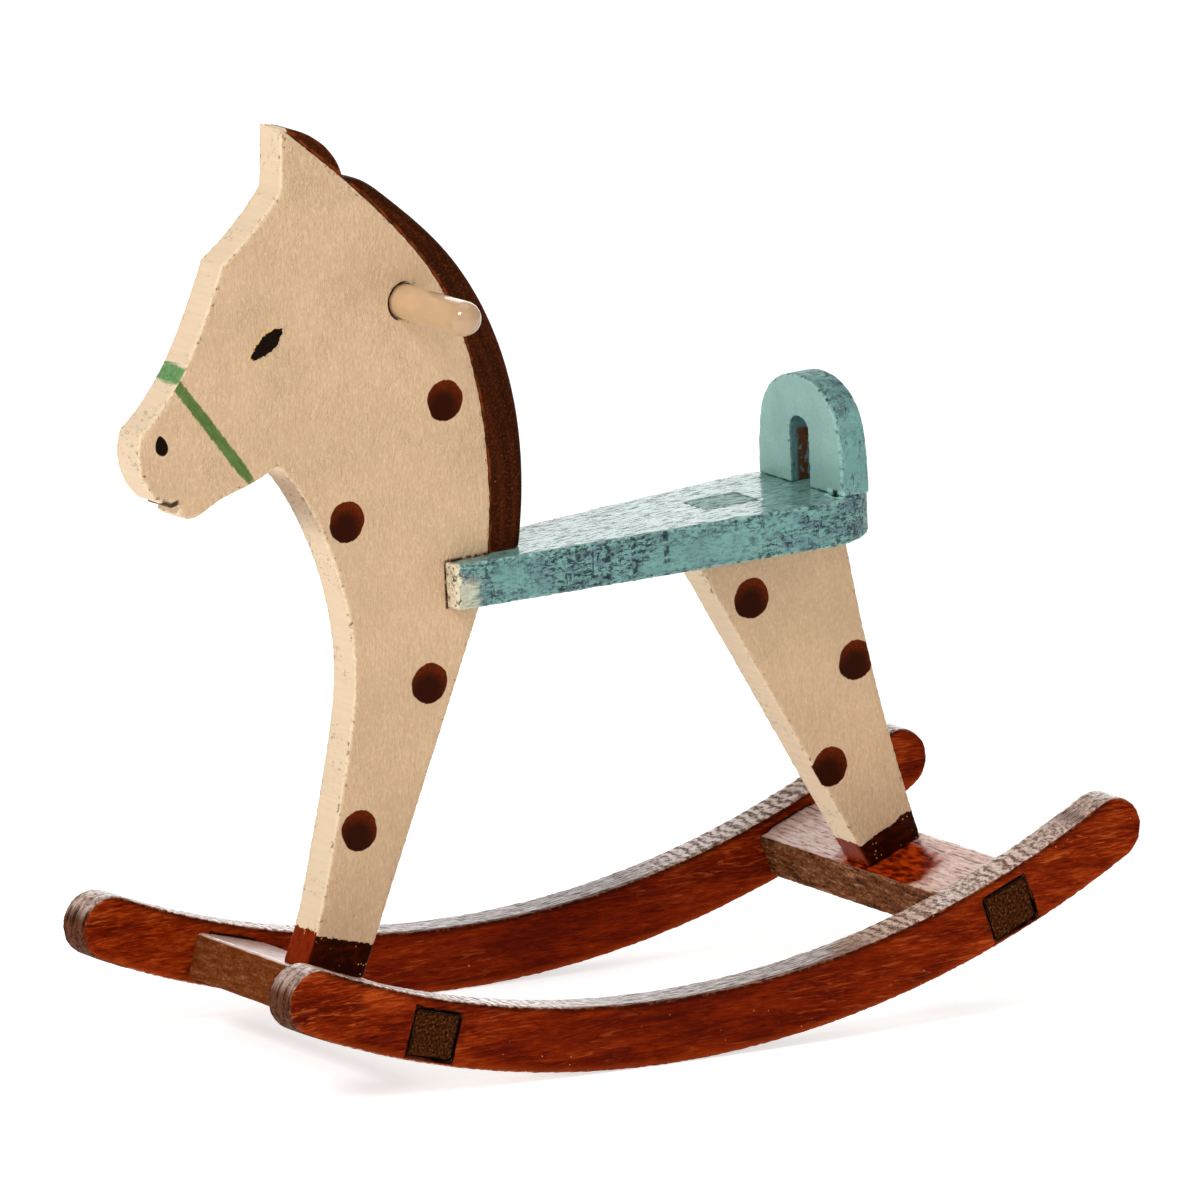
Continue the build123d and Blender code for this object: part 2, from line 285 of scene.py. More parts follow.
class Finish:
    """One material, with the places on the horse that its patterns follow."""

    def __init__(self, name, gloss=0.12, coat=0.0, coat_roughness=0.1):
        self.material = bpy.data.materials.new(name)
        self.material.use_nodes = True
        self.tree = self.material.node_tree
        self.shader = self.tree.nodes["Principled BSDF"]
        self.shader.inputs["Specular IOR Level"].default_value = gloss
        self.shader.inputs["Coat Weight"].default_value = coat
        self.shader.inputs["Coat Roughness"].default_value = coat_roughness
        self.shade = None  # the colour, which each coat of paint or wear changes
        scene = bpy.context.scene
        self.shape, self.paint, self.marks = scene.horse_shape, scene.horse_paint, scene.horse_marks
        self.place = self.level_place()
        self.x, self.y, self.z = self.split(self.place)
        geometry = self.node("ShaderNodeNewGeometry", output="Normal")
        self.normal = self.split(geometry)
        self.broad = abs(self.normal[1]).rise(0.55, 0.85)
        self.arris = self.node("ShaderNodeAttribute", {"attribute_name": "arris"}, output="Fac")
        self.joint = self.node("ShaderNodeAttribute", {"attribute_name": "joint"}, output="Fac")

    def node(self, kind, settings=None, sockets=None, output=0):
        """Add a node: its settings first, then the values or links of its sockets."""
        added = self.tree.nodes.new(kind)
        for name, value in (settings or {}).items():
            if name == "stops":
                self.set_stops(added.color_ramp, value)
            else:
                setattr(added, name, value)
        for name, value in (sockets or {}).items():
            if isinstance(value, Value):
                self.tree.links.new(value.socket, added.inputs[name])
            else:
                added.inputs[name].default_value = value
        return Value(self, added.outputs[output])

    def set_stops(self, ramp, stops):
        """Give a colour ramp its stops, each a position and a linear colour."""
        while len(ramp.elements) < len(stops):
            ramp.elements.new(1.0)
        for element, (position, shade) in zip(ramp.elements, stops):
            element.position = position
            element.color = (*shade, 1)

    def split(self, vector):
        added = self.node("ShaderNodeSeparateXYZ", sockets={0: vector})
        outputs = added.socket.node.outputs
        return [Value(self, output) for output in outputs]

    def join(self, x=0.0, y=0.0, z=0.0):
        return self.node("ShaderNodeCombineXYZ", sockets={0: x, 1: y, 2: z})

    def level_place(self):
        """Place in millimetres with the seat level: x forward, y left, z up from the arc's foot."""
        radius, lean = self.shape.rocker_radius / MM, self.shape.lean
        return self.node(
            "ShaderNodeMapping",
            sockets={
                "Vector": self.node("ShaderNodeTexCoord", output="Object"),
                "Location": (radius * math.sin(lean), 0, radius * (1 - math.cos(lean))),
                "Rotation": (0, -lean, 0),
                "Scale": (1 / MM,) * 3,
            },
        )

    def turned(self, degrees):
        """Place turned about the y axis, so that a pattern slopes in the side view."""
        return self.node(
            "ShaderNodeMapping",
            sockets={"Vector": self.place, "Rotation": (0, math.radians(degrees), 0)},
        )

    def noise(self, scale, place=None, detail=2.0, roughness=0.5, distortion=0.0):
        """Noise with that many waves per millimetre, one number or one for each axis."""
        vector = self.place if place is None else place
        if isinstance(scale, tuple):
            vector = self.node("ShaderNodeMapping", sockets={"Vector": vector, "Scale": scale})
            scale = 1.0
        return self.node(
            "ShaderNodeTexNoise",
            sockets={
                "Vector": vector, "Scale": scale, "Detail": detail,
                "Roughness": roughness, "Distortion": distortion,
            },
        )

    def cells(self, scale):
        """Distance to the nearest of scattered points, for pores and specks."""
        return self.node("ShaderNodeTexVoronoi", sockets={"Vector": self.place, "Scale": scale})

    def mix(self, share, under, over):
        """Colour between two others: share 0 is the under colour and 1 the over colour."""
        factor, a, b, result = 0, 6, 7, 2  # the Mix node's sockets for colours

        def opaque(shade):
            return shade if isinstance(shade, Value) else (*shade, 1)

        sockets = {factor: share, a: opaque(under), b: opaque(over)}
        return self.node("ShaderNodeMix", {"data_type": "RGBA"}, sockets, output=result)

    def ramp(self, value, stops):
        return self.node("ShaderNodeValToRGB", {"stops": stops}, {0: value})

    def distance(self, place, point):
        """Distance from a point, both given as x and z in the side view."""
        x, z = place
        return ((x - point[0]) ** 2 + (z - point[1]) ** 2) ** 0.5

    def lay(self, share, over):
        """Lay a share of another colour over the finish's own."""
        self.shade = self.mix(share, self.shade, over)

    def wear(self, rough, height, coat=None):
        """Link the colour, roughness, relief in millimetres, and share of clear coat."""
        links = self.tree.links
        links.new(self.shade.socket, self.shader.inputs["Base Color"])
        links.new(rough.socket, self.shader.inputs["Roughness"])
        if coat:
            links.new(coat.socket, self.shader.inputs["Coat Weight"])
        relief = self.node("ShaderNodeBump", sockets={"Height": height, "Distance": MM})
        links.new(relief.socket, self.shader.inputs["Normal"])
        return self.material


# ---- painted marks, each a share of cover over the surface ---------


def spots(finish, places):
    """Round spots at places in the side view, and the share along each upper rim that takes a
    painted highlight.
    """
    radius = finish.marks.spot_diameter / MM / 2
    wobble = finish.noise(0.45, detail=1.0) - 0.5
    tremor = finish.noise(2.2, detail=1.0) - 0.5
    x, z = finish.x + wobble * 0.7, finish.z + tremor * 0.22
    covers, highlights = [], []
    for centre in places:
        reach = finish.distance((x, z), centre)
        inside = reach.fall(radius - 0.06, radius + 0.06)
        lift = (finish.z - centre[1]) * 0.6 - (finish.x - centre[0]) * 0.25 + reach
        covers.append(inside)
        highlights.append(inside * lift.rise(radius * 0.3, radius * 1.5))
    on_face = abs(finish.y).rise(2.0, 2.2)
    return greatest(covers) * on_face, greatest(highlights) * on_face


def hoof(finish, foot, slope):
    """Paint below a line in the side view through a point, a little higher on the sawn edges."""
    ragged = (finish.noise(0.7) - 0.5) * 1.1 + (finish.noise(3.0) - 0.5) * 0.5
    line = finish.z - foot[1] - (finish.x - foot[0]) * slope
    return (line + ragged - (1 - finish.broad) * 0.5).fall(-0.06, 0.06)


def eye(finish, centre):
    """Leaf-shaped eye, pointed at both ends, rising towards the back of the head, and its halo."""
    half_length = finish.marks.eye_length / MM / 2
    half_width = finish.marks.eye_width / MM / 2
    radius = (half_length**2 + half_width**2) / (2 * half_width)
    offset = radius - half_width
    rise = math.radians(34)
    x, z = finish.x - centre[0], finish.z - centre[1]
    ragged = (finish.noise(1.1, detail=4.0, roughness=0.6) - 0.5) * 1.5
    along = z * math.sin(rise) - x * math.cos(rise)
    across = z * math.cos(rise) + x * math.sin(rise) + ragged
    upper = finish.distance((along, across), (0, offset))
    lower = finish.distance((along, across), (0, -offset))
    outside = upper.most(lower) - radius
    return outside.fall(-0.05, 0.05) * finish.broad, outside.fall(0.08, 0.5) * finish.broad


def nostril(finish, centre):
    """Drop-shaped nostril, wider below."""
    x, z = finish.x - centre[0], finish.z - centre[1]
    ragged = (finish.noise(1.3) - 0.5) * 0.25
    width = 0.84 - z * 0.16
    outside = (((x - z * 0.14) / width) ** 2 + (z / 1.24) ** 2) ** 0.5 + ragged
    return outside.fall(0.93, 1.05) * finish.broad


def noseband(finish):
    """Green line down the face from a point near its front edge, and a dab across that edge."""
    half_width = finish.marks.noseband_width / MM / 2
    (top_x, top_z), (bottom_x, bottom_z) = NOSEBAND_TOP, NOSEBAND_BOTTOM
    run = math.hypot(bottom_x - top_x, bottom_z - top_z)
    direction = ((bottom_x - top_x) / run, (bottom_z - top_z) / run)
    x, z = finish.x - top_x, finish.z - top_z
    ragged = (finish.noise((2.2, 2.2, 1.6), detail=4, roughness=0.65) - 0.5) * 0.7
    along = x * direction[0] + z * direction[1]
    narrowing = along.rise(run - 1.5, run + 1.5) * 0.3
    across = abs(x * direction[1] - z * direction[0]) + narrowing
    stripe = (across + ragged).fall(half_width - 0.1, half_width + 0.12)
    stripe = stripe * along.within(-0.9, -0.3, run + 0.4, run + 1.6) * finish.broad
    dry = (finish.noise((0.5, 0.3, 4.0)) - 0.5) * 1.3 + abs(finish.y) ** 2 * 0.05
    low, high = NOSEBAND_EDGE
    half_height = (high - low) / 2
    from_middle = abs(finish.z - (low + high) / 2) + dry
    dab = from_middle.fall(half_height - 0.2, half_height + 0.15)
    return stripe.most(dab * (1 - finish.broad) * finish.x.rise(50, 51))


# ---- finishes ------------------------------------------------------


def brush_relief(f):
    """Relief of thick brushed paint: fine strokes down the board and short curled ridges."""
    strokes = f.noise((2.6, 2.6, 0.6), detail=3.0, roughness=0.6, distortion=0.4)
    curls = f.noise((1.5, 1.5, 0.8), f.turned(-14), detail=1.0, distortion=1.2).ridge() ** 7
    crossing = f.noise((1.1, 1.1, 0.45), f.turned(35), detail=1.0, distortion=0.8).ridge() ** 7
    head = f.z.rise(62, 76) * 0.85 + 0.15
    here = f.noise(0.16, detail=1.0).rise(0.47, 0.62) * head
    there = f.noise(0.2, f.turned(90), detail=1.0).rise(0.5, 0.64) * head
    peel = f.noise(1.9, detail=3.0, roughness=0.6)
    return strokes * 0.16 + curls * here * 0.06 + crossing * there * 0.06 + peel * 0.14


def cream_paint(name, spot_places, hoof_line, face_marks=False, tenon=False):
    """Brushed cream paint with scuffed edges, and the marks painted over it."""
    f = Finish(name, gloss=0.03)
    paint, cream, light = f.paint, tuple(f.paint.cream), tuple(f.paint.cream_edge_sheen)

    mottle = f.noise(0.1, detail=3.0)
    cloud = f.noise(0.42)
    relief = brush_relief(f)
    f.shade = f.mix(mottle.rise(0.32, 0.7), lit(cream, 0.95), lit(cream, 1.05))
    warmer = (cream[0] * 0.98, cream[1] * 0.94, cream[2] * 0.9)
    f.lay(cloud.rise(0.45, 0.75) * 0.3, warmer)
    grit = f.noise((3.0, 3.0, 1.7), detail=3.0, roughness=0.7)
    f.lay(grit.fall(0.38, 0.5) * 0.35, lit(cream, 0.82))
    f.lay(grit.rise(0.52, 0.66) * 0.35, light)
    # The sawn edges take the lighter cream, a painted sheen, with the saw's ripples.
    edge_ripple = f.noise((1.7, 0.12, 1.7), detail=3.0)
    edge_shade = f.mix(edge_ripple.rise(0.35, 0.7), lit(light, 0.95), light)
    f.lay(1 - f.broad, edge_shade)
    edge_relief = edge_ripple * 0.13 + f.noise(2.4) * 0.04
    height = relief * f.broad + edge_relief * (1 - f.broad)

    # Scuffs: grey rubbed patches on the sawn edges, and sparse fine scratches on the faces.
    smear = f.noise((2.4, 1.3, 2.0), detail=4.0, roughness=0.7).rise(0.54, 0.64)
    scuff_patch = f.noise(0.16, f.turned(55), detail=1.0).rise(0.46, 0.6)
    scuff = smear * scuff_patch * (1 - f.broad)
    f.lay(scuff * 0.55, tint(128, 124, 112))
    dirt = f.noise((3.0, 3.0, 1.2), detail=4.0, roughness=0.75).rise(0.64, 0.72)
    dirt_patch = f.noise(0.09, f.turned(20), detail=1.0).rise(0.55, 0.66)
    f.lay(dirt * dirt_patch * f.broad * 0.5, tint(130, 104, 76))

    # Arrises: a pale line, a painted highlight, broken by chips down to the dark wood.
    chip = f.noise(1.7, detail=3.0, roughness=0.65)
    f.lay(f.arris.rise(0.3, 0.7) * chip.rise(0.4, 0.6) * 0.45, tint(246, 226, 190))
    bare = f.arris.rise(0.15, 0.35) * chip.fall(0.33, 0.39)
    f.lay(bare * 0.75, tint(104, 82, 52))
    height = height - bare * 0.06

    # Grime gathers where pieces meet.
    grime = f.joint.rise(0.7, 0.98) * f.noise(1.2).rise(0.3, 0.55) * f.z.fall(61, 63)
    f.lay(grime * 0.75, tint(92, 56, 32))
    # Painted shade on the throat under the chin.
    chin_shadow = f.z.within(64, 71, 73, 76) * f.x.fall(52, 54) * (1 - f.broad)
    f.lay(chin_shadow * (0.6 + smear * 0.4), tint(128, 98, 78))
    rough = 0.42 + f.noise(1.2) * 0.16

    if face_marks:
        stroke = f.noise((3.4, 0.9, 0.6), f.turned(-37), detail=3.0).rise(0.35, 0.65)
        brushed = f.mix(stroke, tuple(paint.noseband), tint(74, 104, 48))
        dab_stroke = f.noise((3.0, 3.0, 0.5)).rise(0.35, 0.65)
        edge_green = f.mix(dab_stroke, tint(78, 128, 74), tint(108, 152, 98))
        band = noseband(f)
        f.lay(band * 0.96, f.mix(f.broad, edge_green, brushed))
        lens, socket = eye(f, EYE)
        upper_front = (f.z - EYE[1]) * 0.8 + (f.x - EYE[0]) * 0.6
        ochre = f.noise(0.8).rise(0.4, 0.5) * upper_front.rise(0.2, 0.9)
        f.lay((socket - lens) * ochre * 0.9, tint(238, 190, 106))
        f.lay(lens, tuple(paint.eye))
        hole = nostril(f, NOSTRIL)
        f.lay(hole, tuple(paint.eye))
        height = height + band * 0.04 + (socket - lens) * 0.09 - (lens + hole) * 0.12
        rough = rough - (lens + hole) * 0.1
        # Painted shade of an open gap on one side of the handle, where it enters the board.
        ring = f.distance((f.x, f.z), HANDLE).fall(2.38, 2.5)
        open_side = ((f.x - HANDLE[0]) * 0.96 + (f.z - HANDLE[1]) * 0.28).rise(0.1, 0.7)
        f.lay(ring * open_side * f.broad, tint(14, 8, 4))
        height = height - ring * open_side * 0.1
        # Painted shade in the bottom of the mouth's cut.
        mouth = f.x.rise(59.4, 59.9) * abs(f.z - 73.6 + (f.x - 61) * 0.3).fall(0.2, 0.45)
        f.lay(mouth * f.x.fall(60.6, 62.6) * 0.95, tint(40, 24, 12))
        # Glue and grime along the top and the tips of the seat's fork.
        above = f.z.within(60.1, 60.3, 60.4, 60.8) * f.x.fall(22.6, 23.0)
        before = f.x.within(22.4, 22.6, 22.7, 23.0) * f.z.within(54.4, 54.8, 60.2, 60.6)
        joint = above.most(before) * f.broad * f.noise(1.4).rise(0.3, 0.5)
        f.lay(joint, tint(74, 40, 20))

    # Gloss spots, amber along their upper rims: a painted highlight.
    cover, paler = spots(f, spot_places)
    highlight_share = paler * (0.35 + f.noise(3.0, detail=3.0).rise(0.3, 0.7) * 0.45)
    gloss = f.mix(highlight_share, tuple(paint.spot), tuple(paint.spot_highlight))
    f.lay(cover, gloss)

    boot = hoof(f, *hoof_line)
    boot_shade = f.mix(f.broad, tint(126, 36, 4), tint(40, 8, 0))
    pooled = f.noise((0.7, 1.5, 1.5), detail=4.0).rise(0.45, 0.65)
    boot_shade = f.mix(pooled * 0.55, boot_shade, tint(76, 20, 2))
    flecks = f.cells(1.5).fall(0.08, 0.2) * f.noise(0.3).rise(0.5, 0.56)
    boot_shade = f.mix(flecks * 0.9, boot_shade, tint(226, 172, 96))
    f.lay(boot, boot_shade)
    wet = cover.most(boot)
    height = height * (1 - wet * 0.8) + cover * 0.07 + boot * 0.04
    rough = rough * (1 - wet) + (0.2 + f.noise(0.8) * 0.16) * wet

    if tenon:
        # The end of the leg's tenon is painted over with the seat.
        shown = f.z.rise(SEAT_TOP - 1.2, SEAT_TOP - 1.0)
        rubbed = f.noise((0.7, 2.2, 2.0), detail=4.0, roughness=0.75)
        patch = f.mix(rubbed.rise(0.45, 0.6), tint(104, 138, 130), tint(168, 192, 184))
        patch = f.mix(rubbed.fall(0.38, 0.44) * 0.85, patch, tint(52, 68, 68))
        f.lay(shown, patch)
        height = height + shown * rubbed * 0.1
        rough = rough * (1 - shown) + shown * 0.42
    return f.wear(rough, height)


def teal_paint(name, slotted=False):
    """Satin teal paint, flecked on the sides; smooth on the seat's top or the back's two faces."""
    f = Finish(name, gloss=0.08, coat_roughness=0.16)
    teal, light = tuple(f.paint.teal), tuple(f.paint.teal_light)
    cloud = f.noise(0.2, detail=3.0)
    f.shade = f.mix(cloud.rise(0.35, 0.65), lit(teal, 0.86), teal)
    patch = f.noise((0.1, 0.16, 0.22)).rise(0.34, 0.54)
    if slotted:
        smooth = abs(f.normal[0]).rise(0.75, 0.92)
        sides = 1 - smooth
        f.lay(smooth, f.mix(cloud.rise(0.35, 0.7), lit(light, 0.88), light))
        rubbed, thick = sides * (f.z.rise(68, 75) * 0.7 + 0.3), patch
        fleck_grain, top_wear, top_coat = (1.1, 1.6, 0.75), 0.2, 0.25
    else:
        smooth = f.normal[2].rise(0.75, 0.92)
        sides = 1 - smooth
        upper_arris = f.z.rise(57.8, 60.2) * f.noise((0.16, 0.3, 0.2)).rise(0.4, 0.6)
        rubbed, thick = sides, patch.most(upper_arris)
        fleck_grain, top_wear, top_coat = (1.0, 1.0, 2.6), 1.0, 0.85

    # Rubbed flecks, thick in patches and along the upper arris; they show dark and blue-grey wood.
    fleck = f.noise(fleck_grain, detail=5.0, roughness=0.8)
    fine = f.noise((2.6, 2.6, 4.5), detail=3.0, roughness=0.7)
    bruise = f.noise((0.35, 0.4, 0.8), detail=4.0, roughness=0.65).rise(0.45, 0.58)
    bruise = bruise * (patch * 0.8 + 0.2) * rubbed
    f.lay(bruise * 0.7, tint(84, 104, 118))
    dark = fleck.rise(0.515, 0.57) * (thick * 0.65 + 0.3) * rubbed
    f.lay(dark * 0.95, tint(36, 48, 56))
    ticks = f.noise((2.0, 2.0, 0.55)).rise(0.6, 0.66) * patch * sides
    f.lay(ticks * 0.8, tint(38, 48, 52))
    pale = fine.rise(0.6, 0.66) * thick * sides
    f.lay(pale * 0.5, tint(178, 204, 194))
    scratch = f.noise((0.5, 2.8, 2.8), detail=5.0, roughness=0.8)
    worn_top = scratch.rise(0.51, 0.57) * smooth * top_wear
    f.lay(worn_top * 0.85, tint(52, 74, 74))
    # Pale streaks on the seat's top are a painted sheen.
    if not slotted:
        f.lay(scratch.fall(0.38, 0.46) * smooth * 0.3, tint(206, 220, 212))

    # Arrises: a pale line, a painted highlight, broken by chips down to the dark wood.
    chip = f.noise(1.4, detail=3.0)
    f.lay(f.arris.rise(0.3, 0.7) * chip.rise(0.4, 0.6) * 0.5, tint(176, 214, 202))
    bare = f.arris.rise(0.15, 0.35) * chip.fall(0.35, 0.4)
    f.lay(bare * 0.6, tint(44, 58, 58))
    grime = f.joint.rise(0.62, 0.98) * f.noise(0.6).rise(0.4, 0.6)
    f.lay(grime * 0.6, tint(30, 48, 46))
    ribs = f.noise((2.2, 2.2, 0.3))
    side_relief = ribs * 0.07 + fine * 0.05 - dark * 0.06
    height = scratch * 0.03 * smooth + side_relief * sides - bare * 0.06
    rough = 0.26 + sides * 0.2 + worn_top * 0.25
    coat = smooth * (1 - worn_top * 0.8) * top_coat + sides * 0.05

    if slotted:
        # Inside the slot the paint is thin, and brown wood shows in the middle of each wall.
        inside = abs(f.y).fall(2.0, 2.15) * f.z.fall(69.3, 69.6) * sides
        wood = f.noise((1.0, 1.0, 0.55), detail=3.0, roughness=0.65).rise(0.42, 0.5)
        middle = abs(f.x + 32.8).fall(0.7, 1.4) * f.z.fall(66.5, 67.3)
        f.lay(inside * 0.6, tint(62, 100, 104))
        f.lay(inside * wood * middle, tint(82, 46, 12))
        rough = rough + inside * 0.15
    else:
        # Rows of dark nicks across the sides, near the middle of the seat.
        wavy = f.x + (cloud - 0.5) * 0.8
        rows = greatest([abs(wavy - place).fall(0.2, 0.5) for place in NICK_ROWS])
        nick = rows * f.noise((0.7, 0.3, 1.5)).rise(0.47, 0.56) * sides
        f.lay(nick * 0.85, tint(32, 44, 48))
        height = height - nick * 0.08

        # The fork's tips were caught by the cream paint.
        ragged = (f.noise((0.8, 0.8, 1.4), detail=3.0) - 0.5) * 1.6
        caught = (f.x + ragged).rise(21.8, 22.1)
        spare = (f.x + ragged * 2.2).rise(18.8, 20.8) * f.z.fall(57.5, 59.0)
        tip = caught.most(spare * 0.6)
        worn = f.noise((1.6, 1.6, 1.2), detail=5.0, roughness=0.8).rise(0.54, 0.58) * caught
        f.lay(tip * 0.94, tint(240, 224, 192))
        f.lay(worn * 0.85, tint(44, 42, 36))
        rough = rough + caught * 0.15
        height = height - worn * 0.06

    # A broken corner at one foot of the back: a painted aqua highlight round a painted shadow.
    broken_corner = f.distance((f.x, f.y * 0.4), BROKEN_CORNER) + (f.noise(1.6) - 0.5) * 0.8
    foot = f.z.within(59.8, 60.0, 60.8, 61.2)
    f.lay(broken_corner.fall(0.7, 0.85) * foot, tint(164, 210, 200))
    f.lay(broken_corner.fall(0.25, 0.4) * foot, tint(24, 42, 38))
    return f.wear(rough, height, coat)


def rocker_stain(name):
    """Gloss red-brown stain over straight grain, with the saw's marks on the curved edges."""
    f = Finish(name, gloss=0.01, coat_roughness=0.15)
    paint, radius = f.paint, f.shape.rocker_radius / MM
    drop = radius - f.z
    along = f.x.turn_from(drop) * radius
    rise = radius - (f.x**2 + drop**2) ** 0.5
    curved = 1 - f.broad

    wood = f.turned(3)
    figure = f.noise((0.07, 0.3, 0.3), wood, distortion=1.0)
    streak = f.noise((0.13, 0.5, 1.3), wood, detail=4.0, roughness=0.62, distortion=1.1)
    fibre = f.noise((0.5, 2.0, 4.2), wood, detail=3.0, roughness=0.68, distortion=0.6)
    ends = abs(along).rise(20, 50)
    grain = (figure * 0.34 + streak * 0.3 + fibre * 0.44 - 0.54) * (0.75 + ends * 0.5)
    tone = grain + 0.485 + ends * 0.045
    f.shade = f.ramp(tone, [
        (0.3, tuple(paint.rocker_dark)), (0.45, tint(88, 18, 3)), (0.54, tuple(paint.rocker_red)),
        (0.64, tint(150, 54, 14)), (0.76, tuple(paint.rocker_orange)),
    ])
    # Short bright strokes where the stain is thin, and dark ones where it pooled.
    paler = f.noise((0.24, 1.0, 2.0), wood, detail=3.0, roughness=0.62, distortion=0.8)
    bright = f.noise((0.06, 0.1, 0.14)).rise(0.44, 0.6) * (0.25 + ends * 0.25)
    f.lay(paler.rise(0.54, 0.66) * bright, tint(200, 96, 44))
    f.lay(rise.rise(7.1, 7.8) * 0.75 * f.broad, tint(38, 10, 3))
    f.lay(rise.fall(0.3, 1.2) * 0.35 * f.broad, tint(166, 66, 20))
    speck = f.cells(0.9).fall(0.05, 0.11) * f.noise(0.25).rise(0.56, 0.62) * f.broad
    f.lay(speck * 0.7, tint(226, 150, 110))

    # Curved edges: greyer wood, with pores along the middle and cross ripples towards the ends. The
    # near-white over the cross ripples and on the tips' upward faces is a painted sheen.
    arc_place = f.join(along, f.y, 0.0)
    crossing = abs(along).within(14, 30, 55.5, 58.5)
    lines = f.noise((0.4, 3.4, 1.0), arc_place, detail=4.0, roughness=0.75)
    wander = f.noise((0.35, 0.4, 1.0), arc_place, detail=3.0)
    ripple = (along * 4.0 + wander * 14.0).sine() * 0.5 + 0.5
    pores = f.noise((2.2, 1.3, 1.0), arc_place, detail=5.0, roughness=0.8)
    rippled = f.noise((0.09, 0.1, 1.0), arc_place, detail=1.0).rise(0.36, 0.6) * 0.12 + 0.03
    rubbed_out = abs(along).rise(58.0, 60.0) * 0.6
    length_marks = lines * (1 - rubbed_out) + pores * rubbed_out
    cross_marks = (ripple - 0.5) * rippled + pores * 0.86 + 0.04
    mark = length_marks * (1 - crossing) + cross_marks * crossing
    dark = (mark + crossing * 0.025).fall(0.4, 0.57)
    tips = abs(along).rise(57.0, 59.5)
    wood_and_sheen = f.mix(crossing, tint(140, 104, 88), tint(228, 200, 184))
    edge_shade = f.mix(dark, wood_and_sheen, f.mix(crossing, tint(58, 32, 20), tint(112, 76, 58)))
    # Upward faces of the tips are painted near-white, a painted sheen; the clear coat also follows
    # the upward faces.
    upward = f.normal[2].rise(0.25, 0.8)
    tip_wood_and_sheen = f.mix(upward, tint(108, 64, 44), tint(214, 184, 168))
    tip_shade = f.mix(dark, tip_wood_and_sheen, f.mix(upward, tint(44, 22, 12), tint(84, 54, 42)))
    edge_shade = f.mix(tips, edge_shade, tip_shade)
    f.lay(curved, edge_shade)

    # Black gaps round the tenons' ends, open in places: painted shade in the gaps and on the
    # mortise walls.
    seams, frames = [], []
    for side in (1, -1):
        lengthwise = abs(along - side * f.shape.rail_angle * radius) - TENON_HALF[0]
        outside = lengthwise.most(abs(rise - TENON_RISE) - TENON_HALF[1])
        ragged = outside + (f.noise(0.5) - 0.5) * 0.9
        seams.append(outside.rise(-0.14, 0.0) * ragged.fall(0.12, 0.28))
        frames.append(outside.fall(0.3, 0.5))
    framed = greatest(frames)
    seam = greatest(seams) * f.noise(0.7).rise(0.3, 0.44) * f.broad
    f.lay(seam * 0.95, tint(12, 5, 2))

    chip = f.noise(1.3, detail=3.0)
    rubbed = f.arris.rise(0.3, 0.7) * chip.rise(0.5, 0.66) * (1 - framed)
    f.lay(rubbed * 0.45, tint(170, 96, 62))
    # The mortise walls round each tenon get painted shade.
    gap = f.mix(f.noise(0.45).rise(0.42, 0.56), tint(12, 5, 2), tint(62, 30, 14))
    f.lay(framed * f.arris.rise(0.1, 0.4).most(curved), gap)
    sawn = ripple * crossing * 0.07 + lines * 0.05 + pores * 0.09
    height = fibre * 0.025 * f.broad + sawn * curved
    height = height - dark * curved * 0.04 - seam * 0.12 + speck * 0.04
    rough = 0.27 + fibre * 0.12 + curved * (0.04 + dark * 0.3)
    coat = curved * (1 - dark * 0.75) * upward * (1 - framed)
    return f.wear(rough, height, coat)


